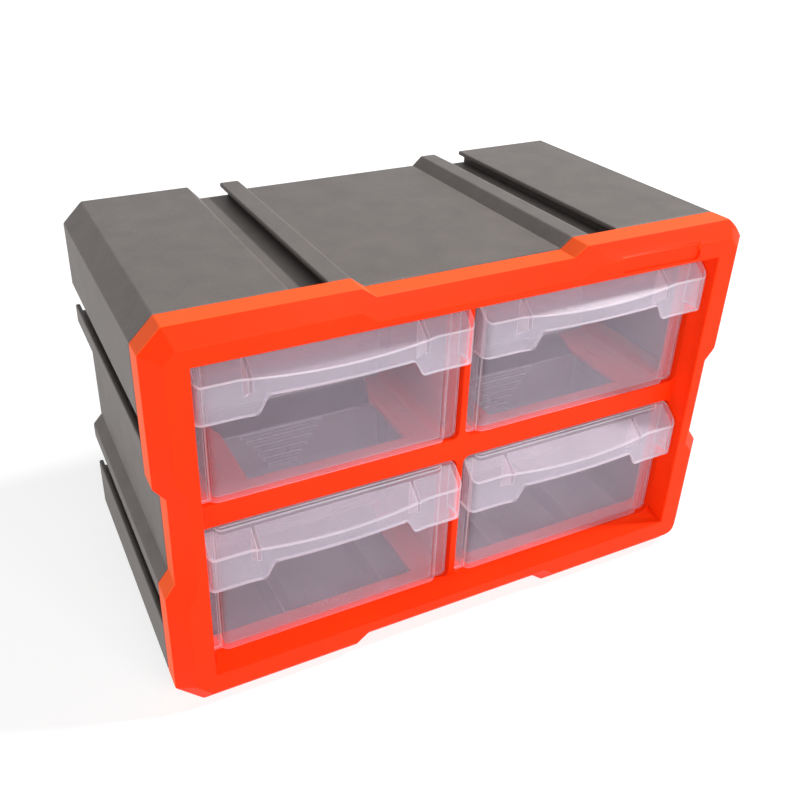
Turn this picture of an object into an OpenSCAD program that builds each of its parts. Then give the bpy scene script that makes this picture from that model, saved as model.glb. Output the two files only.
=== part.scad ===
// Parts bin cabinet: four clear drawers in a grey stacking case with an orange front frame.
// Millimetres. +Z is up, the drawers face -Y, and X runs along the front.
// The origin is on the ground, under the middle of the case.
// Depths called "y" below are counted back from the face of the rim.

/* [Cabinet] */
// Width over the case and the frame
body_w = 300; // [280:1:400]
// Depth from the face of the rim to the back of the case
body_d = 160; // [140:1:240]
// Height over the case and the frame
body_h = 197; // [180:1:280]
// Wall of the grey case
case_wall = 2.4; // [2:0.1:3]
// Size of the two top corners: a chamfer on the left, a softened one on the right
corner_top = 10; // [8:0.1:14]
// How far the softened top corner is drawn in from a round towards a chamfer
corner_flat = 0.75; // [0:0.05:0.9]
// Size of the two bottom corners: a chamfer on the left, a round on the right
corner_bottom = 12.5; // [8:0.5:15]
// Dark line left open between the frame and the case
seam = 0.4; // [0.2:0.1:0.8]
// Clearance between the frame's plug and the inside of the case
push_gap = 0.3; // [0.2:0.05:0.5]

/* [Front frame] */
// Width of the rim at the left and right
rim_side = 18.3; // [16:0.1:24]
// Width of the rim along the top
rim_top = 16.4; // [15:0.1:24]
// Width of the rim along the bottom
rim_bottom = 19; // [17:0.1:26]
// How far the rim's bevel reaches in from the outline
bevel_in = 8; // [5:0.5:9]
// How far the bevel reaches back from the face
bevel_back = 6.4; // [4:0.1:9]
// Depth of the rim's outer side
rim_d = 18.3; // [16:0.1:24]
// Thickness of the rim's front
face_t = 5; // [4.8:0.1:7]
// Width of the upright bar between the bays
bar_w = 3.4; // [3:0.1:6]
// Height of the level bar between the bays
bar_h = 11.6; // [9:0.1:16]
// How far the bars lie behind the rim's face
bar_y = 12; // [10:0.5:14]
// How far the sleeves of the bays reach back
sleeve_y = 24; // [22:0.5:30]
// Wall of the sleeves and of the rack behind them
frame_wall = 2.4; // [2:0.1:2.8]
// Corner radius of each bay
bay_r = 4; // [2:0.5:6]
// How far back the rack reaches
rack_y = 86; // [60:1:110]
// Width of the ledges beside the middle wall
ledge_mid = 24; // [16:1:30]
// Width of the ledges at the outer side of the bays
ledge_out = 28; // [18:1:34]
// Width of the feet at the bottom of the middle wall
foot_w = 17; // [12:1:24]
// Length of the slanted corner at the end of each ledge
ledge_slant = 22; // [10:1:30]
// Width of that slanted corner
ledge_slant_w = 8; // [4:1:12]

/* [Stacking profile] */
// Flat land between each top or bottom corner and its first groove
land_top = 65; // [50:1:80]
// Flat land between each corner and the first groove on the upright sides
land_side = 37.5; // [30:0.5:40]
// Depth of the grooves
groove_deep = 7; // [6:0.1:8]
// Depth of the middle of each side, which is also the notch of the rim
mid_deep = 5; // [4:0.1:5.5]
// Thickness of the undercut lips
lip_t = 2.4; // [1.8:0.1:3]
// How far the lips reach over their grooves
lip_out = 4; // [2:0.1:5]
// Length of the slopes that end the notches of the rim
notch_slope = 6.5; // [5:0.5:8]

/* [Drawers] */
// Clearance at each side of a drawer's flange
side_gap = 0.8; // [0.5:0.1:1.5]
// Clearance above a drawer's flange
top_gap = 1.3; // [0.8:0.1:3]
// Clearance under a drawer
slide_gap = 0.3; // [0.2:0.05:0.5]
// How far the flanges lie behind the rim's face
flange_y = 14.5; // [14:0.1:16]
// Width of a drawer's flange beside its box
flange_side = 6.2; // [5:0.1:9]
// Radius of the flange's corners
flange_r = 3; // [1:0.5:5]
// Wall of a drawer
drawer_wall = 1.8; // [1.4:0.1:2.4]
// How far the front panel stands out of the flange
panel_out = 2.3; // [1.5:0.1:3]
// Radius of a drawer's upright corners
drawer_r = 4; // [2.5:0.5:8]
// How far a drawer's sides end below the top of its flange
side_drop = 2.4; // [1:0.1:8]
// Room behind a closed drawer
back_room = 9.6; // [4:0.1:20]

/* [Pull] */
// How far the ears of the pull lie behind the rim's face
ear_y = 2.9; // [2.6:0.1:4]
// How far the middle of the pull bows forward
pull_bow = 2.5; // [1:0.1:2.5]
// Wall of the pull
pull_wall = 1.7; // [1.4:0.1:2.2]
// Distance from the top of the flange down to the fold of the pull
fold_drop = 9.9; // [8:0.1:14]
// Height of the pull's lip in the middle, below the fold
lip_mid_h = 9.4; // [7:0.1:12]
// How much further down the ears reach
ear_step = 8.4; // [6:0.1:11]
// Width of each ear
ear_w = 26.4; // [20:0.1:34]
// Sideways run of the step between ear and middle
ear_slant = 4.4; // [3:0.1:8]
// Rounding of that step
step_r = 2.4; // [1:0.1:2.8]
// Thickness of the webs behind the pull
web_t = 1.4; // [1:0.1:2]

/* [Dividers] */
// Thickness of a divider
divider_t = 1.6; // [1.2:0.1:2.4]
// Clearance around a divider in its slots
divider_gap = 0.3; // [0.2:0.05:0.6]
// How far a divider ends below the top of the flange
divider_drop = 2; // [1:0.1:8]
// Ribs of the finger grip
grip_rows = 6; // [3:1:8]
// Distance from rib to rib
grip_pitch = 4.2; // [3.4:0.1:5]
// Length of the lowest rib
grip_low = 15; // [10:1:20]
// How much longer each next rib is
grip_grow = 5.9; // [3:0.1:7]
// Radius of a rib
grip_r = 0.8; // [0.5:0.1:1]

/* [Hidden] */
$fn = 48;
eps = 0.01;
LEFT = -1;
RIGHT = 1;
LOWER = 0;
UPPER = 1;
round_steps = 4;

// Bays: two columns and two rows inside the rim
mouth_w = body_w - 2 * rim_side;
mouth_h = body_h - rim_top - rim_bottom;
bay_w = (mouth_w - bar_w) / 2;
bay_h = (mouth_h - bar_h) / 2;
function bay_x(column) = column * (bay_w + bar_w) / 2;
function bay_z(row) = rim_bottom + row * (bay_h + bar_h);

// Stacking profile, as runs along one side: a groove with a hook, the middle, a rib and a groove
groove_slope = 6.3;
groove_floor = 15.5;
hook_top = 6;
hook_slope = mid_deep;
groove_run = groove_slope + groove_floor + hook_top + hook_slope;
rib_rise = 5.5;
rib_top = 8.5;
rib_fall = 13;
slot_floor = 8;
slot_run = rib_rise + rib_top + rib_fall + slot_floor;
// The rim's notch starts a little later on the upright sides
side_notch_late = 6;

// Rack: beads that the drawers slide on, and the slots' ribs inside the drawers
bead_h = 0.6;
bead_w = 1.6;
bead_in = 11;
bead_step = 9;
runner_t = 1.8;
bracket_w = 7;
slot_rib_t = 1.4;
slot_rib_out = 1.5;
slot_h = 58;

// Keyholes in the back, for hanging the case on two screws
keyhole_x = 100;
keyhole_drop = 45;
keyhole_entry_r = 4.5;
keyhole_neck_r = 2.5;
keyhole_rise = 8;

// Drawer sizes
flange_w = bay_w - 2 * side_gap;
flange_h = bay_h - slide_gap - top_gap;
box_w = flange_w - 2 * flange_side;
box_h = flange_h - side_drop;
box_front = -panel_out;
box_back = body_d - case_wall - back_room - flange_y;
divider_y = (box_front + box_back) / 2;
ear_front = ear_y - flange_y;
fold_z = flange_h - fold_drop;
lip_z = fold_z - lip_mid_h;
ear_z = lip_z - ear_step;
// The top of the pull falls from the flange to the fold, and on at the same angle where it bows out
pull_fall = fold_drop / -ear_front;
function pull_z(y) = flange_h + pull_fall * y;

// ---- outlines, as points [x, z] counter-clockwise seen from the front ----

// Corner of the given size: a round at flat = 0, a chamfer at flat = 1, and between the two otherwise
function corner(x, z, size, turn, flat) = let (
        cx = x - size * sign(x),
        cz = z > 0 ? z - size : size,
        steps = flat == 1 ? 1 : round_steps)
    [for (i = [0:steps]) let (
            a = 90 * i / steps,
            reach = size * (1 - flat + flat / (cos(a) + sin(a))))
        [cx + reach * cos(a + turn * 90), cz + reach * sin(a + turn * 90)]];

// A run [along, deep] placed on the top, and mirrored or turned onto the other three sides
function on_top(run) = [for (p = run) [p[0] - body_w / 2, body_h - p[1]]];
function on_bottom(run) = [for (p = run) [p[0] - body_w / 2, p[1]]];
function on_left(run) = [for (p = run) [p[1] - body_w / 2, body_h - p[0]]];
function on_right(run) = [for (p = run) [body_w / 2 - p[1], body_h - p[0]]];
function reversed(run) = [for (i = [len(run) - 1:-1:0]) run[i]];

// The whole outline from a run for the level sides and one for the upright sides
function outline(level, upright) = concat(
    corner(-body_w / 2, 0, corner_bottom, 2, 1),
    on_bottom(level),
    corner(body_w / 2, 0, corner_bottom, 3, 0),
    reversed(on_right(upright)),
    corner(body_w / 2, body_h, corner_top, 0, corner_flat),
    reversed(on_top(level)),
    corner(-body_w / 2, body_h, corner_top, 1, 1),
    on_left(upright));

// Run of the case: land, groove, hook foot, middle, rib, groove, land. The first land ends in a slope
// of the given length, which is 0 where the land ends in an upright wall
function case_run(side, land, slope) = let (
        hook_end = land + groove_run,
        rib_at = side - land - slot_run)
    [[land + groove_slope - slope, 0], [land + groove_slope, groove_deep],
        [hook_end - hook_slope, groove_deep], [hook_end, mid_deep],
        [rib_at, mid_deep], [rib_at + rib_rise, 0], [rib_at + rib_rise + rib_top, 0],
        [side - land - slot_floor, groove_deep], [side - land, groove_deep], [side - land, 0]];

// Run of the rim: only the notch, which lies over the middle of the case
function rim_run(side, land, late) = let (
        start = land + groove_run - hook_slope + late,
        end = side - land - slot_run + rib_rise)
    [[start, 0], [start + notch_slope, mid_deep], [end - notch_slope, mid_deep], [end, 0]];

// The hook that stands in the first groove, with its lip
function hook_run(land) = let (
        foot = land + groove_slope + groove_floor,
        sunk = groove_deep + case_wall / 2)
    [[foot, sunk], [foot, lip_t], [foot - lip_out, lip_t], [foot - lip_out, 0],
        [foot + hook_top, 0], [foot + hook_top + hook_slope, mid_deep],
        [foot + hook_top + hook_slope, sunk]];

// The lip of the land that ends the second groove
function lip_run(side, land) =
    [[side - land + eps, 0], [side - land - lip_out, 0],
        [side - land - lip_out, lip_t], [side - land + eps, lip_t]];

// Outline moved inwards by d, edge by edge
function unit(v) = v / norm(v);
function inward(a, b) = unit([a[1] - b[1], b[0] - a[0]]);
function inset(points, d) = let (n = len(points))
    [for (i = [0:n - 1])
        let (
            before = inward(points[(i + n - 1) % n], points[i]),
            after = inward(points[i], points[(i + 1) % n]))
        points[i] + d * (before + after) / (1 + before * after)];

case_outline = outline(case_run(body_w, land_top, groove_slope), case_run(body_h, land_side, 0));
rim_outline = outline(rim_run(body_w, land_top, 0), rim_run(body_h, land_side, side_notch_late));

// ---- helpers ----

// Drawing in X and Z, made solid from depth y0 back to y1
module slab(y0, y1) {
    translate([0, y0 - body_d / 2, 0])
        rotate([90, 0, 0])
            translate([0, 0, y0 - y1])
                linear_extrude(y1 - y0)
                    children();
}

// Rectangle from corner to corner
module rect(x0, z0, x1, z1) {
    translate([x0, z0])
        square([x1 - x0, z1 - z0]);
}

// Rectangle with round corners
module round_rect(x0, z0, x1, z1, r) {
    rect(x0 + r, z0, x1 - r, z1);
    rect(x0, z0 + r, x1, z1 - r);
    for (x = [x0 + r, x1 - r])
        for (z = [z0 + r, z1 - r])
            translate([x, z])
                circle(r);
}

// One drawing on the left and its mirror image on the right
module both_sides() {
    children();
    mirror([1, 0])
        children();
}

// ---- case ----

module stacking_lips() {
    for (run = [hook_run(land_top), lip_run(body_w, land_top)]) {
        polygon(on_top(run));
        polygon(on_bottom(run));
    }
    for (run = [hook_run(land_side), lip_run(body_h, land_side)]) {
        polygon(on_left(run));
        polygon(on_right(run));
    }
}

// Ribs on the floor that carry the lower drawers, and brackets under the outer ledges
module case_runners() {
    ledge_low = bay_z(UPPER) - bead_h - frame_wall;
    wall_x = body_w / 2 - mid_deep - case_wall;
    both_sides() {
        for (x = [2 * foot_w, bay_x(RIGHT) + 2 * bead_in, bay_x(RIGHT) + bay_w / 2 - bead_in])
            rect(x - runner_t / 2, 0, x + runner_t / 2, rim_bottom);
        rect(wall_x - bracket_w, ledge_low - push_gap - case_wall,
            wall_x + eps, ledge_low - push_gap);
    }
}

module keyhole() {
    circle(keyhole_entry_r);
    rect(-keyhole_neck_r, 0, keyhole_neck_r, keyhole_rise);
    translate([0, keyhole_rise])
        circle(keyhole_neck_r);
}

module case() {
    front = rim_d + seam;
    back = body_d - case_wall;
    color("dimgray") {
        difference() {
            slab(front, body_d) {
                polygon(case_outline);
                stacking_lips();
            }
            slab(front - 1, back)
                polygon(inset(case_outline, case_wall));
            slab(back - 1, body_d + 1)
                for (x = [-keyhole_x, keyhole_x])
                    translate([x, body_h - keyhole_drop])
                        keyhole();
        }
        slab(sleeve_y + 2 * seam, back + eps)
            intersection() {
                polygon(inset(case_outline, case_wall / 2));
                case_runners();
            }
    }
}

// ---- front frame ----

// The bevelled front of the rim: two triangles for every edge of the outline, and a fan on each end
module rim_bevel() {
    front = inset(rim_outline, bevel_in);
    n = len(rim_outline);
    points = concat(
        [for (p = front) [p[0], -body_d / 2, p[1]]],
        [for (p = rim_outline) [p[0], bevel_back - body_d / 2, p[1]]],
        [[0, -body_d / 2, body_h / 2], [0, bevel_back - body_d / 2, body_h / 2]]);
    faces = [for (i = [0:n - 1])
        let (next = (i + 1) % n)
        each [[next, i, 2 * n], [n + i, n + next, 2 * n + 1], [i, next, n + next], [i, n + next, n + i]]];
    polyhedron(points, faces);
}

module bays() {
    for (column = [LEFT, RIGHT])
        for (row = [LOWER, UPPER])
            translate([bay_x(column), bay_z(row)])
                round_rect(-bay_w / 2, 0, bay_w / 2, bay_h, bay_r);
}

// Hollow behind the rim and behind the level bar, open to the back
module rim_hollow() {
    plug = case_wall + push_gap + frame_wall;
    w = frame_wall;
    slab(face_t, sleeve_y + 1)
        difference() {
            polygon(inset(case_outline, plug));
            rect(-mouth_w / 2 - w, rim_bottom - w, mouth_w / 2 + w, body_h - rim_top + w);
        }
    slab(bar_y + w, sleeve_y + 1)
        both_sides()
            rect(bar_w, rim_bottom + bay_h + w, mouth_w / 2 + eps, bay_z(UPPER) - w);
}

// A ledge with a slanted corner at its far end, from its fixed edge x0 to its free edge x1
module ledge(x0, x1, top_z) {
    slant = ledge_slant_w * sign(x1 - x0);
    plate = [[x0, sleeve_y - frame_wall], [x1, sleeve_y - frame_wall],
        [x1, rack_y - ledge_slant], [x1 - slant, rack_y], [x0, rack_y]];
    translate([0, -body_d / 2, top_z - bead_h - frame_wall])
        linear_extrude(frame_wall)
            polygon(plate);
}

// Two beads along a ledge, counted inwards from the bay's edge at x
module beads(x, way, top_z) {
    for (i = [0, 1])
        translate([x + way * (bead_in + i * bead_step) - bead_w / 2,
                sleeve_y - frame_wall - body_d / 2, top_z - bead_h - eps])
            cube([bead_w, rack_y - ledge_slant - sleeve_y, bead_h + eps]);
}

module rack() {
    inner = mid_deep + case_wall + push_gap;
    slab(sleeve_y - frame_wall, rack_y)
        rect(-frame_wall / 2, inner, frame_wall / 2, body_h - inner);
    for (side = [LEFT, RIGHT]) {
        bay_edge = side * mouth_w / 2;
        ledge(0, side * ledge_mid, bay_z(UPPER));
        beads(0, side, bay_z(UPPER));
        ledge(side * (body_w / 2 - inner), bay_edge - side * ledge_out, bay_z(UPPER));
        beads(bay_edge, -side, bay_z(UPPER));
        ledge(0, side * foot_w, bay_z(LOWER));
    }
}

module front_frame() {
    color("orangered") {
        difference() {
            union() {
                rim_bevel();
                slab(bevel_back, rim_d)
                    polygon(rim_outline);
                slab(rim_d - eps, sleeve_y)
                    polygon(inset(case_outline, case_wall + push_gap));
            }
            rim_hollow();
            slab(-1, bar_y)
                rect(-mouth_w / 2, rim_bottom, mouth_w / 2, body_h - rim_top);
            slab(bar_y - 1, sleeve_y + 1)
                bays();
        }
        rack();
    }
}

// ---- drawers ----

// Puts a drawer or divider into its bay: x from the bay's middle, y from the flange, z from its foot
module in_bay(column, row) {
    translate([bay_x(column), flange_y - body_d / 2, bay_z(row) + slide_gap])
        children();
}

// Drawing in Y and Z, made solid over a width centred on x
module across(x, width) {
    translate([x - width / 2, 0, 0])
        rotate([90, 0, 90])
            linear_extrude(width)
                children();
}

// Front view of the flange, which also bounds the pull
module flange_shape() {
    round_rect(-flange_w / 2, 0, flange_w / 2, flange_h, flange_r);
}

// Flat flange, and the box behind it with its front panel
module drawer_box() {
    t = drawer_wall;
    difference() {
        union() {
            translate([0, t, 0])
                rotate([90, 0, 0])
                    linear_extrude(t)
                        flange_shape();
            linear_extrude(box_h)
                round_rect(-box_w / 2, box_front, box_w / 2, box_back, drawer_r);
            linear_extrude(flange_h)
                intersection() {
                    round_rect(-box_w / 2, box_front, box_w / 2, box_back, drawer_r);
                    rect(-box_w / 2, box_front, box_w / 2, t);
                }
        }
        translate([0, 0, t])
            linear_extrude(flange_h)
                round_rect(-box_w / 2 + t, box_front + t, box_w / 2 - t, box_back - t, drawer_r - t);
    }
}

// Ribs on the side walls and the floor that hold the divider
module divider_slot() {
    slot = divider_t + 2 * divider_gap;
    inside = box_w / 2 - drawer_wall;
    for (way = [-1, 1])
        translate([0, divider_y + way * (slot + slot_rib_t) / 2 - slot_rib_t / 2, drawer_wall - eps]) {
            for (side = [LEFT, RIGHT])
                translate([side * (inside - slot_rib_out / 2) - slot_rib_out / 2, 0, 0])
                    cube([slot_rib_out + eps, slot_rib_t, slot_h]);
            translate([-inside, 0, 0])
                cube([2 * inside, slot_rib_t, slot_rib_out]);
        }
}

// Plan of the pull: round front corners, with the middle bowed forward; shrunk evenly by t
module pull_plan(t) {
    half = flange_w / 2 - t;
    chord = box_w / 2 - ear_w / 2;
    radius = (chord * chord / pull_bow + pull_bow) / 2;
    front = ear_front + t;
    centre = ear_front + drawer_r;
    rect(-flange_w / 2 + drawer_r, front, flange_w / 2 - drawer_r, 0);
    rect(-half, centre, half, 0);
    for (side = [LEFT, RIGHT])
        translate([side * (flange_w / 2 - drawer_r), centre])
            circle(drawer_r - t);
    intersection() {
        translate([0, ear_front - pull_bow + radius])
            circle(radius - t, $fn = 360);
        rect(-chord, front - pull_bow, chord, centre);
    }
}

// Side view of the pull: sloping top and upright lip; shrunk by t under the top
module pull_side(t) {
    far = ear_front - pull_bow - 1;
    drop = t * sqrt(1 + pull_fall * pull_fall);
    polygon([[0, pull_z(0) - drop], [far, pull_z(far) - drop], [far, ear_z - t], [0, ear_z - t]]);
}

// Half of the rounded step from the ear's foot up to the middle of the lip
function step_arc(x, z, from, to) =
    [for (i = [0:4])
        let (a = from + (to - from) * i / 4)
        [x + step_r * cos(a), z + step_r * sin(a)]];

// Front view of what is cut away under the middle of the pull
module pull_cut() {
    top_x = flange_w / 2 - ear_w - ear_slant;
    foot_x = flange_w / 2 - ear_w;
    lean = atan2(ear_step, ear_slant);
    half = concat(
        step_arc(foot_x + step_r * tan(lean / 2), ear_z + step_r, 270, 270 - lean),
        step_arc(top_x - step_r * tan(lean / 2), lip_z - step_r, 90 - lean, 90));
    both = concat(half, [for (p = reversed(half)) [-p[0], p[1]]]);
    polygon(concat([[half[0][0], ear_z - 2]], both, [[-half[0][0], ear_z - 2]]));
}

// One volume of the pull, before its wall is taken out
module pull_body(t) {
    intersection() {
        across(0, flange_w)
            pull_side(t);
        translate([0, 0, ear_z - 1])
            linear_extrude(flange_h)
                pull_plan(t);
        rotate([90, 0, 0])
            linear_extrude(flange_y)
                flange_shape();
    }
}

module pull() {
    difference() {
        pull_body(0);
        pull_body(pull_wall);
        translate([0, box_front - eps, 0])
            rotate([90, 0, 0])
                linear_extrude(flange_y)
                    pull_cut();
        translate([-box_w / 2 + drawer_wall, box_front + drawer_wall, ear_z - 2])
            cube([box_w - 2 * drawer_wall, flange_y, flange_h]);
    }
    web_x = flange_w / 2 - ear_w + step_r;
    for (side = [LEFT, RIGHT])
        across(side * web_x, web_t)
            polygon([[box_front + eps, lip_z - ear_step / 2], [box_front + eps, pull_z(box_front) - eps],
                [ear_front + pull_wall / 2, fold_z], [ear_front + pull_wall / 2, lip_z + step_r]]);
}

module drawer(column, row) {
    color("thistle", 0.6)
        in_bay(column, row) {
            drawer_box();
            divider_slot();
            pull();
        }
}

// ---- dividers ----

module divider(column, row) {
    width = box_w - 2 * drawer_wall - 2 * divider_gap;
    height = flange_h - divider_drop - drawer_wall - divider_gap;
    top = drawer_wall + divider_gap + height;
    color("lavender", 0.6)
        in_bay(column, row)
            translate([0, divider_y, 0]) {
                translate([-width / 2, -divider_t / 2, drawer_wall + divider_gap])
                    cube([width, divider_t, height]);
                for (i = [0:grip_rows - 1])
                    let (rib = grip_low + grip_grow * i)
                    translate([-rib / 2, -divider_t / 2, top - (grip_rows - i - 0.6) * grip_pitch])
                        rotate([0, 90, 0])
                            cylinder(r = grip_r, h = rib, $fn = 16);
            }
}

case();
front_frame();
drawer(LEFT, UPPER);  // drawer_upper_left
drawer(RIGHT, UPPER);  // drawer_upper_right
drawer(LEFT, LOWER);  // drawer_lower_left
drawer(RIGHT, LOWER);  // drawer_lower_right
divider(LEFT, UPPER);  // divider_upper_left
divider(RIGHT, UPPER);  // divider_upper_right
divider(LEFT, LOWER);  // divider_lower_left
divider(RIGHT, LOWER);  // divider_lower_right
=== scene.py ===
# %% [markdown]
# # A parts cabinet in grey, orange and clear plastic
# The cabinet has four clear drawers in an orange front frame, pushed onto a grey case. Its solids
# come from the CAD model, which is loaded first and never moved. This lesson dresses them: it
# softens the moulded edges, gives each plastic its own surface, and sets up the light and the
# camera of a plain studio picture.

import math

import bmesh
import bpy
from mathutils import Matrix, Vector


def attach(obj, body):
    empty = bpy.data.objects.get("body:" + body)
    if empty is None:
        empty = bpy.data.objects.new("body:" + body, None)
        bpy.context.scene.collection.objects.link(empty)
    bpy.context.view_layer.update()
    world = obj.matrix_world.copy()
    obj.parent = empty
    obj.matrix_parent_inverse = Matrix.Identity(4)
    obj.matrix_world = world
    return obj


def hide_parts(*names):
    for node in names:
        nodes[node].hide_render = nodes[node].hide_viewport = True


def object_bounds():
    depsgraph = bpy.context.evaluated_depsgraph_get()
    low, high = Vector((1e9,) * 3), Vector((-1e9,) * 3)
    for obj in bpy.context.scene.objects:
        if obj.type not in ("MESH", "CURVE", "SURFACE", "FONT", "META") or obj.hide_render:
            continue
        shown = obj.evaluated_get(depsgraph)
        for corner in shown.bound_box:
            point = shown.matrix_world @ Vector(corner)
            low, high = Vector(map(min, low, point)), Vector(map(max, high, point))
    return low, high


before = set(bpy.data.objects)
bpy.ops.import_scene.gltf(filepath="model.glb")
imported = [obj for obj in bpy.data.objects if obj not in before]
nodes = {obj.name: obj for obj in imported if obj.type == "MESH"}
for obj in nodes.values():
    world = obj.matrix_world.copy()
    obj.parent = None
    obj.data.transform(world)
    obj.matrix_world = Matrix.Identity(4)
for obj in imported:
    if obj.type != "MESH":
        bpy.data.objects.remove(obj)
cad_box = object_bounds()
MM = 0.001
print("CAD nodes:", sorted(nodes))

# %% [markdown]
# The photograph was taken from close by, a little above the cabinet and to its left. Its
# vanishing points give the place of the camera, the angles it looks along and its lens. The
# picture was cut out of a larger one, so the lens looks past the middle of the frame: the
# camera's shift says by how much. Building the camera first means that every later step can be
# compared with the photograph.

# %% Camera
CAMERA_PLACE = Vector((-0.2038, -0.3687, 0.3472))
CAMERA_AZIMUTH = math.radians(-25.21)
CAMERA_ELEVATION = math.radians(28.51)
CAMERA_ROLL = math.radians(0.375)
FOCAL_SHARE = 900.25 / 800
SENSOR = 36.0
SHIFT = (0.0687, -0.0607)
NEAREST = 10 * MM

camera_data = bpy.data.cameras.new("studio_camera")
camera_data.sensor_width = SENSOR
camera_data.lens = SENSOR * FOCAL_SHARE
camera_data.shift_x, camera_data.shift_y = SHIFT
camera_data.clip_start = NEAREST
camera = bpy.data.objects.new("studio_camera", camera_data)
bpy.context.scene.collection.objects.link(camera)
look = Vector((
    -math.sin(CAMERA_AZIMUTH) * math.cos(CAMERA_ELEVATION),
    math.cos(CAMERA_AZIMUTH) * math.cos(CAMERA_ELEVATION),
    -math.sin(CAMERA_ELEVATION)))
turn = look.to_track_quat("-Z", "Y").to_matrix() @ Matrix.Rotation(CAMERA_ROLL, 3, "Z")
camera.matrix_world = Matrix.Translation(CAMERA_PLACE) @ turn.to_4x4()
bpy.context.scene.camera = camera
print("camera lens", round(camera_data.lens, 2), "mm")

# %% [markdown]
# A moulded edge is never perfectly sharp: a fine round along it catches the light, and without
# it the plastic looks cut from paper. The solids from the CAD model have sharp edges, and their
# meshes are loose triangles that share no corners. A bevel needs joined faces, so the first
# helper makes a copy of a node's mesh with its doubles merged, and leaves the node as it is.

# %% Helper that merges a copy of a node
SAME_POINT = 0.004 * MM


def merged(node):
    mesh = nodes[node].data.copy()
    shape = bmesh.new()
    shape.from_mesh(mesh)
    bmesh.ops.remove_doubles(shape, verts=shape.verts, dist=SAME_POINT)
    shape.to_mesh(mesh)
    shape.free()
    return mesh


# %% [markdown]
# On the case and the frame, a round that is wider than its face would fold the mesh over. The
# bevel's own clamp would shrink every round to what the narrowest face allows. Instead each edge
# gets the room that it has: a share of the narrower face beside it, or of the shortest edge that
# leaves its ends sideways.

# %% Helper that finds the room beside an edge
ROOM_SHARE = 0.4
SIDEWAYS = (math.radians(30), math.radians(150))


def face_width(face):
    return 2 * face.calc_area() / sum(edge.calc_length() for edge in face.edges)


def edge_room(edge):
    room = min(face_width(face) for face in edge.link_faces)
    for vert in edge.verts:
        along = edge.other_vert(vert).co - vert.co
        for other in vert.link_edges:
            if other == edge:
                continue
            angle = along.angle(other.other_vert(vert).co - vert.co)
            if SIDEWAYS[0] < angle < SIDEWAYS[1]:
                room = min(room, other.calc_length())
    return ROOM_SHARE * room


# %% [markdown]
# The round itself is a Bevel modifier, since it can follow a weight on each edge. Flat triangles
# are dissolved into whole faces first, so only the edges that turn sharply are left to round.
# Where room is short, the weight is lowered and inner corners stay sharp. Two segments with
# hardened normals look round without many faces. The piece stands for its node in the picture
# and rides on the same body.

# %% Helper that softens the edges of a node
SHARP = math.radians(25)
FLAT = math.radians(0.5)


def with_weights(mesh, radius, by_room):
    shape = bmesh.new()
    shape.from_mesh(mesh)
    bmesh.ops.dissolve_limit(shape, angle_limit=FLAT, verts=shape.verts, edges=shape.edges)
    for face in shape.faces:
        face.smooth = True
    weight = shape.edges.layers.float.new("bevel_weight_edge")
    for edge in shape.edges:
        edge.smooth = edge.calc_face_angle(0.0) < SHARP
        if not edge.smooth:
            edge[weight] = 1.0
            if by_room:
                edge[weight] = min(1.0, edge_room(edge) / radius) if edge.is_convex else 0.0
    shape.to_mesh(mesh)
    shape.free()
    mesh.materials.clear()


def softened(node, body, radius, by_room=False, edge_slot=-1, mesh=None):
    mesh = mesh or merged(node)
    mesh.name = "soft_" + node
    with_weights(mesh, radius, by_room)
    piece = bpy.data.objects.new("soft_" + node, mesh)
    bpy.context.scene.collection.objects.link(piece)
    bevel = piece.modifiers.new("edge_round", "BEVEL")
    bevel.width = radius
    bevel.segments = 2
    bevel.limit_method = "WEIGHT"
    bevel.use_clamp_overlap = False
    bevel.harden_normals = True
    bevel.material = edge_slot
    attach(piece, body)
    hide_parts(node)
    return piece


# %% [markdown]
# The case is the largest moulding, with the thickest walls, so its edges are the roundest.

# %% Case
case = softened("case", "cabinet", 0.8 * MM, by_room=True)
print("softened the case:", len(case.data.polygons), "faces before the rounds")

# %% [markdown]
# At the right end of the top rim the frame has a shallow pressed plate, open towards the bevel
# above it. On this part the plate is bare. A Boolean modifier with a box whose lower corners
# are rounded cuts it a millimetre deep, and the result is made the new mesh, so that neither the
# modifier nor the box stays.

# %% Front frame with the pressed plate
PLATE_X = (72 * MM, 118 * MM)
PLATE_Z = (182.2 * MM, 195 * MM)
PLATE_DEPTH = 1.1 * MM
PLATE_CORNER = 2.2 * MM
CUTTER_THICKNESS = 4 * MM


def plate_cutter():
    shape = bmesh.new()
    size = Vector((PLATE_X[1] - PLATE_X[0], CUTTER_THICKNESS, PLATE_Z[1] - PLATE_Z[0]))
    front = cad_box[0][1] + PLATE_DEPTH
    middle = Vector((sum(PLATE_X) / 2, front - size.y / 2, sum(PLATE_Z) / 2))
    bmesh.ops.create_cube(shape, size=1.0)
    bmesh.ops.scale(shape, vec=size, verts=shape.verts)
    bmesh.ops.translate(shape, vec=middle, verts=shape.verts)
    low = [edge for edge in shape.edges if all(vert.co.z < middle.z for vert in edge.verts)
           and abs(edge.verts[0].co.x - edge.verts[1].co.x) < size.x / 2]
    bmesh.ops.bevel(
        shape, geom=low, offset=PLATE_CORNER, segments=5, profile=0.5, affect="EDGES", material=-1)
    mesh = bpy.data.meshes.new("plate_cutter")
    shape.to_mesh(mesh)
    shape.free()
    return mesh


def cut(mesh, cutter_mesh):
    target = bpy.data.objects.new("cut_target", mesh)
    cutter = bpy.data.objects.new("cut_tool", cutter_mesh)
    for thing in (target, cutter):
        bpy.context.scene.collection.objects.link(thing)
    boolean = target.modifiers.new("cut", "BOOLEAN")
    boolean.operation = "DIFFERENCE"
    boolean.solver = "EXACT"
    boolean.object = cutter
    seen = target.evaluated_get(bpy.context.evaluated_depsgraph_get())
    made = bpy.data.meshes.new_from_object(seen)
    for thing in (target, cutter):
        bpy.data.objects.remove(thing)
    return made


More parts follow.
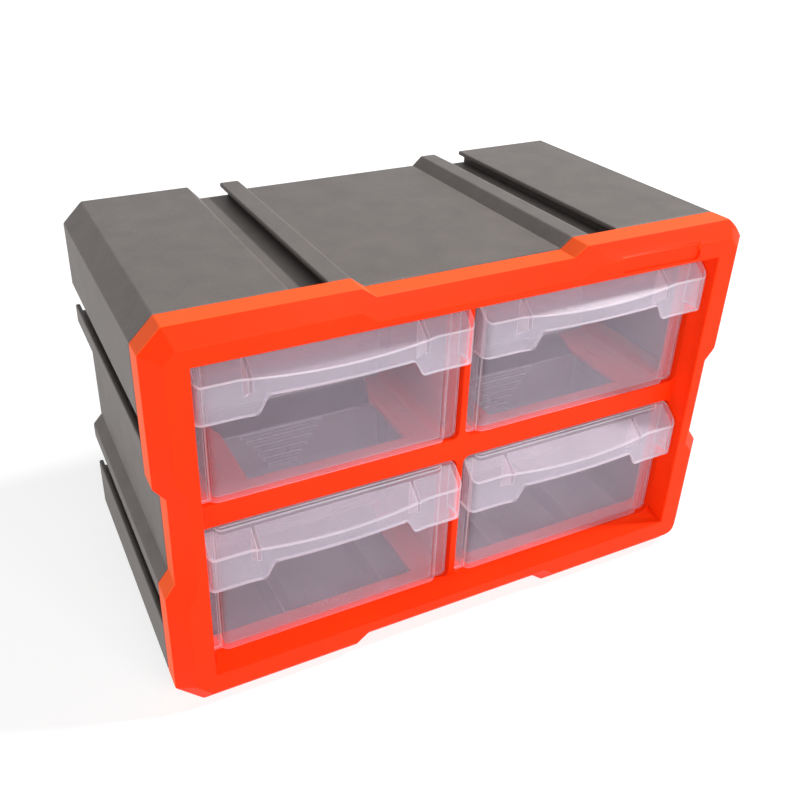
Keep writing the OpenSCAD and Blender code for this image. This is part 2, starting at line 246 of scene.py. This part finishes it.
frame_mesh = cut(merged("front_frame"), plate_cutter())
front_frame = softened("front_frame", "cabinet", 0.6 * MM, by_room=True, mesh=frame_mesh)
print("the plate is", round((PLATE_X[1] - PLATE_X[0]) / MM), "mm wide")

# %% [markdown]
# The drawers and the dividers are thin walls, and every rim of them is rounded alike. The faces
# that the rounds make get a material slot of their own, because the edges of clear plastic
# gather light and show as bright lines.

# %% Drawers and dividers
DRAWER_EDGE_SLOT = 2
DIVIDER_EDGE_SLOT = 1
drawers = {}
dividers = {}
for place in ("upper_left", "upper_right", "lower_left", "lower_right"):
    drawers[place] = softened(
        "drawer_" + place, place, 0.45 * MM, edge_slot=DRAWER_EDGE_SLOT)
    dividers[place] = softened(
        "divider_" + place, place, 0.3 * MM, edge_slot=DIVIDER_EDGE_SLOT)
print("softened drawers and dividers:", len(drawers) + len(dividers))

# %% [markdown]
# All the plastics share one effect: the fine grain and the faint unevenness of a moulded
# surface. It is built once as a node group, with the sizes of the grain and of the soft clouds
# as inputs. It puts out a height for a Bump node, the clouds as a mask, and both mixed as
# speckles for small changes of colour.

# %% Group: moulded grain
def socket(group, name, way, default=None):
    made = group.interface.new_socket(name=name, in_out=way, socket_type="NodeSocketFloat")
    if default is not None:
        made.default_value = default


def grain_group():
    group = bpy.data.node_groups.new("moulded_grain", "ShaderNodeTree")
    socket(group, "Grain Scale", "INPUT", 1800.0)
    socket(group, "Cloud Scale", "INPUT", 14.0)
    for name in ("Height", "Cloud", "Speckle"):
        socket(group, name, "OUTPUT")
    inputs = group.nodes.new("NodeGroupInput")
    outputs = group.nodes.new("NodeGroupOutput")
    place = group.nodes.new("ShaderNodeTexCoord")
    grain = group.nodes.new("ShaderNodeTexNoise")
    grain.inputs["Detail"].default_value = 3.0
    cloud = group.nodes.new("ShaderNodeTexNoise")
    cloud.inputs["Detail"].default_value = 4.0
    speckle = group.nodes.new("ShaderNodeMix")
    speckle.data_type = "FLOAT"
    speckle.inputs["Factor"].default_value = 0.5
    link = group.links.new
    link(place.outputs["Object"], grain.inputs["Vector"])
    link(place.outputs["Object"], cloud.inputs["Vector"])
    link(inputs.outputs["Grain Scale"], grain.inputs["Scale"])
    link(inputs.outputs["Cloud Scale"], cloud.inputs["Scale"])
    link(grain.outputs["Fac"], outputs.inputs["Height"])
    link(cloud.outputs["Fac"], outputs.inputs["Cloud"])
    link(cloud.outputs["Fac"], speckle.inputs["A"])
    link(grain.outputs["Fac"], speckle.inputs["B"])
    link(speckle.outputs["Result"], outputs.inputs["Speckle"])
    return group


GRAIN = grain_group()
print("group sockets:", [item.name for item in GRAIN.interface.items_tree])

# %% [markdown]
# Every surface here is a small net of nodes, and the same few nodes come back in each: a sum, a
# range moved to another range, a point split into its axes. Helpers that add one such node and
# hand back its output keep the recipes that follow short enough to read.

# %% Helpers for materials
def material(name):
    made = bpy.data.materials.new(name)
    made.use_nodes = True
    made.node_tree.nodes.clear()
    return made


def worked_out(tree, operation, *values):
    made = tree.nodes.new("ShaderNodeMath")
    made.operation = operation
    for place, value in enumerate(values):
        if isinstance(value, float):
            made.inputs[place].default_value = value
        else:
            tree.links.new(value, made.inputs[place])
    return made.outputs["Value"]


def remapped(tree, value, source, target=(0.0, 1.0)):
    made = tree.nodes.new("ShaderNodeMapRange")
    made.inputs["From Min"].default_value, made.inputs["From Max"].default_value = source
    made.inputs["To Min"].default_value, made.inputs["To Max"].default_value = target
    tree.links.new(value, made.inputs["Value"])
    return made.outputs["Result"]


def on_object(tree, output="Object"):
    place = tree.nodes.new("ShaderNodeTexCoord")
    split = tree.nodes.new("ShaderNodeSeparateXYZ")
    tree.links.new(place.outputs[output], split.inputs["Vector"])
    return split.outputs


def grain_node(tree, cloud_scale, grain_scale=None):
    grain = tree.nodes.new("ShaderNodeGroup")
    grain.node_tree = GRAIN
    grain.inputs["Cloud Scale"].default_value = cloud_scale
    if grain_scale:
        grain.inputs["Grain Scale"].default_value = grain_scale
    return grain.outputs


def finished(tree, shader):
    output = tree.nodes.new("ShaderNodeOutputMaterial")
    tree.links.new(shader, output.inputs["Surface"])


def paint(piece, *made):
    piece.data.materials.clear()
    for one in made:
        piece.data.materials.append(one)


# %% [markdown]
# In the photograph the orange frame is paler on the outside of its rim, where its top and outer
# sides catch more light and a sheen. This is a painted sheen: a paler orange mixed into the
# colour. A mask made from the place and the normal of the surface finds those faces: far out from
# the middle of the front, and not facing forward. A painted mask would do too, but this one
# follows the shape by itself.

# %% Mask of the painted sheen on the outer rim
SHEEN_PLACE = (0.89, 0.91)
SHEEN_TURN = (0.3, 0.6)


# mask of the painted sheen: outer rim faces that face up or outwards, not forward
def painted_sheen_mask(tree):
    point = on_object(tree)
    facing = on_object(tree, "Normal")
    half_w, half_h = cad_box[1][0], cad_box[1][2] / 2
    across = worked_out(tree, "DIVIDE", worked_out(tree, "ABSOLUTE", point["X"]), half_w)
    up = worked_out(tree, "SUBTRACT", point["Z"], half_h)
    up = worked_out(tree, "DIVIDE", worked_out(tree, "ABSOLUTE", up), half_h)
    outside = remapped(tree, worked_out(tree, "MAXIMUM", across, up), SHEEN_PLACE)
    forward = worked_out(tree, "ABSOLUTE", facing["Y"])
    return worked_out(tree, "MULTIPLY", outside, remapped(tree, forward, SHEEN_TURN, (1.0, 0.0)))


# %% [markdown]
# The case is a dark grey polypropylene with an even, fine grain. The front frame is a strongly
# coloured, slightly glossier orange. Both use the same recipe: a Principled surface whose colour
# moves a little with the speckles, and whose bump comes from the grain. On the frame, a painted
# sheen is also mixed into the colour on the outer rim: a paler orange placed by the mask above.

# %% Materials of the case and the frame
BUMP_STRENGTH = 0.7
SPECKLE_SPAN = (0.3, 0.7)


def speckled(tree, mask, low, high):
    ramp = tree.nodes.new("ShaderNodeValToRGB")
    for element, position, colour in zip(ramp.color_ramp.elements, SPECKLE_SPAN, (low, high)):
        element.position = position
        element.color = (*colour, 1.0)
    tree.links.new(mask, ramp.inputs["Fac"])
    return ramp.outputs["Color"]


# mixes the painted sheen into the colour: a paler orange where the sheen mask is
def with_painted_sheen(tree, colour, sheen_colour):
    paler = tree.nodes.new("ShaderNodeMix")
    paler.data_type = "RGBA"
    paler.inputs["B"].default_value = (*sheen_colour, 1.0)
    tree.links.new(painted_sheen_mask(tree), paler.inputs["Factor"])
    tree.links.new(colour, paler.inputs["A"])
    return paler.outputs["Result"]


def moulded_plastic(
        name, low, high, roughness, specular, grain_depth, grain_scale, cloud_scale, sheen_colour=None):
    made = material(name)
    tree = made.node_tree
    grain = grain_node(tree, cloud_scale, grain_scale)
    bump = tree.nodes.new("ShaderNodeBump")
    bump.inputs["Strength"].default_value = BUMP_STRENGTH
    bump.inputs["Distance"].default_value = grain_depth
    tree.links.new(grain["Height"], bump.inputs["Height"])
    surface = tree.nodes.new("ShaderNodeBsdfPrincipled")
    surface.inputs["Roughness"].default_value = roughness
    surface.inputs["Specular IOR Level"].default_value = specular
    tree.links.new(bump.outputs["Normal"], surface.inputs["Normal"])
    colour = speckled(tree, grain["Speckle"], low, high)
    # painted sheen: paler colour on the outer rim, standing in for the stronger light there
    if sheen_colour:
        colour = with_painted_sheen(tree, colour, sheen_colour)
    tree.links.new(colour, surface.inputs["Base Color"])
    finished(tree, surface.outputs["BSDF"])
    return made


paint(case, moulded_plastic(
    "case_grey_plastic", (0.122, 0.109, 0.103), (0.170, 0.151, 0.143), roughness=0.55,
    specular=0.2, grain_depth=0.08 * MM, grain_scale=1100.0, cloud_scale=70.0))
paint(front_frame, moulded_plastic(
    "frame_orange_plastic", (0.90, 0.026, 0.001), (0.95, 0.036, 0.002), roughness=0.5,
    specular=0.08, grain_depth=0.03 * MM, grain_scale=1600.0, cloud_scale=20.0,
    # colour of the painted sheen on the frame's outer rim
    sheen_colour=(0.95, 0.115, 0.025)))
print("painted the case and the frame")

# %% [markdown]
# The drawers are natural polypropylene: it lets the inside show, but milkily. Real refraction
# through two thin walls would cost many samples and show little, so the wall lets a share of
# the light straight through with Alpha, and the rest is a pale, glossy surface. Where the wall
# is seen edge on, the eye looks through more plastic, so Layer Weight makes it denser there.
# Clouds keep the density from being the same everywhere. To shadow rays the plastic is thinner,
# because a milky wall scatters most of the light on inwards.

# %% Recipe of the clear plastic
EDGE_BLEND = 0.3
CLOUD_SPREAD = (0.85, 1.15)
WALL_CLOUDS = 30.0
LIGHT_LET_IN = 0.7
# depth range and lowest share of the painted shade on the drawer rims
BRIGHT_EDGES = (-67 * MM, -56 * MM)
DEEP_EDGES = 0.25


# painted shade: density falls off further back, standing in for the lower light there
def with_painted_depth_shade(tree, density):
    near = remapped(tree, on_object(tree)["Y"], BRIGHT_EDGES, (1.0, 0.0))
    return worked_out(tree, "MULTIPLY", density, worked_out(tree, "MAXIMUM", near, DEEP_EDGES))


def clear_plastic(name, colour, thin, thick, roughness, depth_shaded=False):
    made = material(name)
    tree = made.node_tree
    facing = tree.nodes.new("ShaderNodeLayerWeight")
    facing.inputs["Blend"].default_value = EDGE_BLEND
    density = remapped(tree, facing.outputs["Facing"], (0.0, 1.0), (thin, thick))
    # painted shade deeper inside the drawer
    if depth_shaded:
        density = with_painted_depth_shade(tree, density)
    cloud = remapped(tree, grain_node(tree, WALL_CLOUDS)["Cloud"], (0.0, 1.0), CLOUD_SPREAD)
    share = worked_out(tree, "MULTIPLY", density, cloud)
    path = tree.nodes.new("ShaderNodeLightPath")
    shadow = worked_out(
        tree, "MULTIPLY_ADD", path.outputs["Is Shadow Ray"], -LIGHT_LET_IN, 1.0)
    surface = tree.nodes.new("ShaderNodeBsdfPrincipled")
    surface.inputs["Base Color"].default_value = (*colour, 1.0)
    surface.inputs["Roughness"].default_value = roughness
    tree.links.new(worked_out(tree, "MULTIPLY", share, shadow), surface.inputs["Alpha"])
    finished(tree, surface.outputs["BSDF"])
    return made


# %% [markdown]
# One plastic is not enough for a whole drawer. The pull is thicker than the walls and hides more
# of what is behind it. The narrow rims and the webs behind the pull are the densest. Their density
# is lowered further inside as a painted shade, for the less light that reaches them there: that
# gives the bright outlines that such drawers have in front.

# %% Materials of the drawers and dividers
milky_wall = clear_plastic(
    "drawer_wall_plastic", (0.62, 0.54, 0.65), thin=0.072, thick=0.36, roughness=0.25)
milky_pull = clear_plastic(
    "drawer_pull_plastic", (0.60, 0.53, 0.63), thin=0.19, thick=0.56, roughness=0.35)
milky_edge = clear_plastic(
    "drawer_edge_plastic", (0.66, 0.58, 0.65), thin=0.42, thick=0.85, roughness=0.35,
    # painted shade: the rims lose density further inside
    depth_shaded=True)
divider_edge = clear_plastic(
    "divider_edge_plastic", (0.70, 0.63, 0.68), thin=0.5, thick=0.88, roughness=0.3)
divider_wall = clear_plastic(
    "divider_wall_plastic", (0.66, 0.59, 0.69), thin=0.15, thick=0.46, roughness=0.25)
drawer_plastics = (milky_wall, milky_pull, milky_edge)
divider_plastics = (divider_wall, divider_edge)
print("clear plastics:", [one.name for one in drawer_plastics + divider_plastics])

# %% [markdown]
# The slots are dealt out face by face, before the rounds are made. A face in front of the panel
# belongs to the pull. A rim is a long face about as narrow as the wall is thick. A web is a small
# upright face that looks sideways, right behind the pull. Measuring the faces finds them on all
# four drawers alike, without a list of numbers.

# %% Faces of the drawers and dividers
PULL_FRONT = -68.2 * MM
RIM_WIDTHS = (1.2 * MM, 1.9 * MM)
WEB_AREA = 160 * MM * MM
WEB_PLACE = (-77 * MM, -58 * MM)
SIDEWAYS_NORMAL = 0.9
WALL_SLOT, PULL_SLOT = 0, 1


def is_web(polygon):
    return (abs(polygon.normal.x) > SIDEWAYS_NORMAL and polygon.area < WEB_AREA
            and WEB_PLACE[0] < polygon.center.y < WEB_PLACE[1])


def is_rim(polygon, mesh):
    rim = [mesh.vertices[index].co for index in polygon.vertices]
    around = sum((rim[step] - rim[step - 1]).length for step in range(len(rim)))
    return len(rim) > 3 and RIM_WIDTHS[0] < 2 * polygon.area / around < RIM_WIDTHS[1]


def clear_slot(polygon, mesh):
    if is_web(polygon) or is_rim(polygon, mesh):
        return DRAWER_EDGE_SLOT
    return PULL_SLOT if polygon.center.y < PULL_FRONT else WALL_SLOT


for place, drawer in drawers.items():
    paint(drawer, *drawer_plastics)
    for polygon in drawer.data.polygons:
        polygon.material_index = clear_slot(polygon, drawer.data)
    paint(dividers[place], *divider_plastics)
print("painted drawers and dividers:", len(drawers) + len(dividers))

# %% [markdown]
# The studio is a white floor that runs on for metres, so no edge shows. It lies a hair below the
# cabinet, so that the two never share a plane.

# %% Floor
FLOOR_SIZE = 6.0
FLOOR_DROP = 0.5 * MM

plane = bmesh.new()
bmesh.ops.create_grid(plane, x_segments=1, y_segments=1, size=FLOOR_SIZE)
floor_mesh = bpy.data.meshes.new("studio_floor")
plane.to_mesh(floor_mesh)
plane.free()
floor = bpy.data.objects.new("studio_floor", floor_mesh)
floor.location.z = -FLOOR_DROP
bpy.context.scene.collection.objects.link(floor)
print("floor of", 2 * FLOOR_SIZE, "m")

# %% [markdown]
# Light bounces off the floor as off plain white paint. To the camera and in reflections it shows
# white instead: a darker paint that still takes the soft shadow of the cabinet, and a glow of
# its own on top, a little stronger further out, where less light of the lamps arrives. Light
# Path tells the two apart, which keeps the background white without more light on the cabinet.

# %% Material of the floor
GLOW_REACH = (0.3, 1.2)
GLOW_STRENGTH = (0.78, 1.0)
BOUNCE_GREY = 0.9
SHADE_GREY = 0.3


def white_when_seen(tree):
    path = tree.nodes.new("ShaderNodeLightPath").outputs
    seen = worked_out(tree, "MAXIMUM", path["Is Camera Ray"], path["Is Glossy Ray"])
    return worked_out(tree, "MAXIMUM", seen, path["Is Transmission Ray"])


def picked(tree, otherwise, when_seen):
    pick = tree.nodes.new("ShaderNodeMixShader")
    tree.links.new(white_when_seen(tree), pick.inputs["Fac"])
    tree.links.new(otherwise, pick.inputs[1])
    tree.links.new(when_seen, pick.inputs[2])
    return pick.outputs["Shader"]


def matt(tree, grey):
    made = tree.nodes.new("ShaderNodeBsdfDiffuse")
    made.inputs["Color"].default_value = (grey, grey, grey, 1.0)
    return made.outputs["BSDF"]


floor_white = material("studio_floor_white")
tree = floor_white.node_tree
place = tree.nodes.new("ShaderNodeTexCoord")
away = tree.nodes.new("ShaderNodeVectorMath")
away.operation = "LENGTH"
glow = tree.nodes.new("ShaderNodeEmission")
shown = tree.nodes.new("ShaderNodeAddShader")
tree.links.new(place.outputs["Object"], away.inputs[0])
strength = remapped(tree, away.outputs["Value"], GLOW_REACH, GLOW_STRENGTH)
tree.links.new(strength, glow.inputs["Strength"])
tree.links.new(matt(tree, SHADE_GREY), shown.inputs[0])
tree.links.new(glow.outputs["Emission"], shown.inputs[1])
finished(tree, picked(tree, matt(tree, BOUNCE_GREY), shown.outputs["Shader"]))
paint(floor, floor_white)
print("the floor glows with", GLOW_STRENGTH)

# %% [markdown]
# The main light is a small soft box high at the right: it reaches the tops of the ribs, and the
# shadows that they throw into the stacking grooves stay dark and fairly sharp. A wide one in
# front looks down into the drawers and lights the orange ledges inside, and a low one lights the
# left side.

# %% Lamps
LIT_POINT = Vector((0.0, 0.0, 0.1))


def lamp(name, place, size, power):
    data = bpy.data.lights.new(name, "AREA")
    data.shape = "RECTANGLE"
    data.size, data.size_y = size
    data.energy = power
    made = bpy.data.objects.new(name, data)
    bpy.context.scene.collection.objects.link(made)
    made.location = place
    made.rotation_euler = (LIT_POINT - Vector(place)).to_track_quat("-Z", "Y").to_euler()
    print(name, "of", power, "W")


lamp("high_softbox", (1.6, -0.5, 1.8), (0.25, 0.25), 57.0)
lamp("left_softbox", (-1.4, -0.3, 0.2), (0.6, 0.4), 7.5)
lamp("front_softbox", (0.1, -1.4, 0.85), (0.9, 0.5), 16.0)

# %% [markdown]
# The world gives a weak even fill, as the white walls of a studio would, and shows plain white
# to the camera and in reflections, like the floor.

# %% World
FILL = 0.2
WHITE = 1.0


def background(tree, strength):
    made = tree.nodes.new("ShaderNodeBackground")
    made.inputs["Color"].default_value = (1.0, 1.0, 1.0, 1.0)
    made.inputs["Strength"].default_value = strength
    return made.outputs["Background"]


world = bpy.data.worlds.new("studio_world")
bpy.context.scene.world = world
world.use_nodes = True
tree = world.node_tree
tree.nodes.clear()
output = tree.nodes.new("ShaderNodeOutputWorld")
tree.links.new(
    picked(tree, background(tree, FILL), background(tree, WHITE)), output.inputs["Surface"])
print("world fill", FILL)

# %% [markdown]
# The picture uses the plain Standard view, so that a colour renders about as it is written.

# %% Finish
bpy.context.scene.view_settings.view_transform = "Standard"
